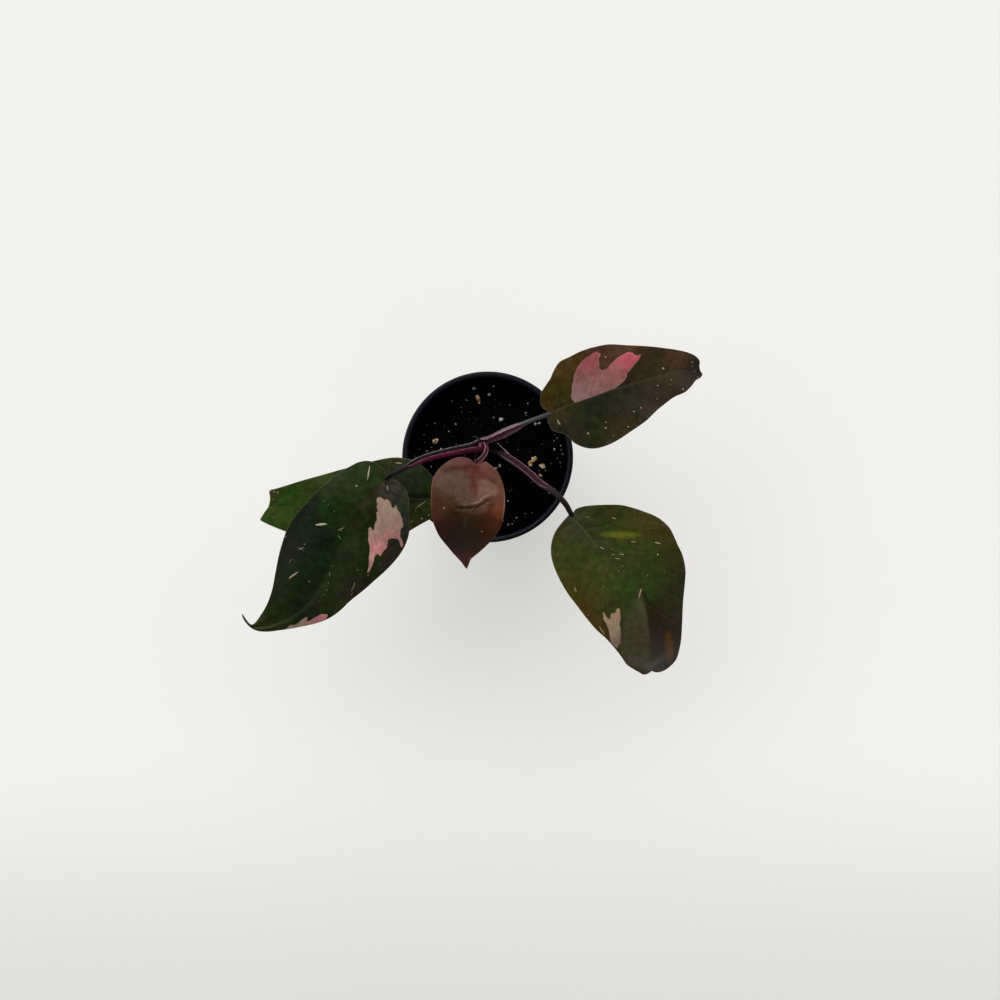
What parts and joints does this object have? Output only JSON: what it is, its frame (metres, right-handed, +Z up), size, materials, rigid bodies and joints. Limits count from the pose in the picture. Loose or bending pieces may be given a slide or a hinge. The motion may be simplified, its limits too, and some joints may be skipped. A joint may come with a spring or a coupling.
{
  "type": "pink princess philodendron",
  "caption": "Young variegated philodendron with cream and pink patches on its leaves, in a round black plastic nursery pot filled with dark potting mix",
  "frame": {"origin": "centre of the pot's underside, on the pot's axis", "axes": "+Z up; the newest leaf and the two longest leaves point to -Y, the front; +X is to the right of a viewer in front"},
  "size_m": [0.2796, 0.2007, 0.1571],
  "materials": {
    "pot_plastic": "satin",
    "potting_mix": "matte",
    "root": "matte",
    "stem": "satin",
    "dry_sheath": "matte",
    "leaf": "satin",
    "new_leaf": "gloss",
    "petiole": "satin"
  },
  "bodies": {
    "root": {"pot": "pot_plastic", "soil": "potting_mix", "roots": "root", "stem": "stem", "sheath_spike": "dry_sheath", "blade_right": "leaf", "blade_front_right": "leaf", "blade_new": "new_leaf", "blade_front_left": "leaf", "blade_left": "leaf", "petiole_right": "petiole", "petiole_front_right": "petiole", "petiole_new": "petiole", "petiole_front_left": "petiole", "petiole_left": "petiole"}
  },
  "joints": []
}
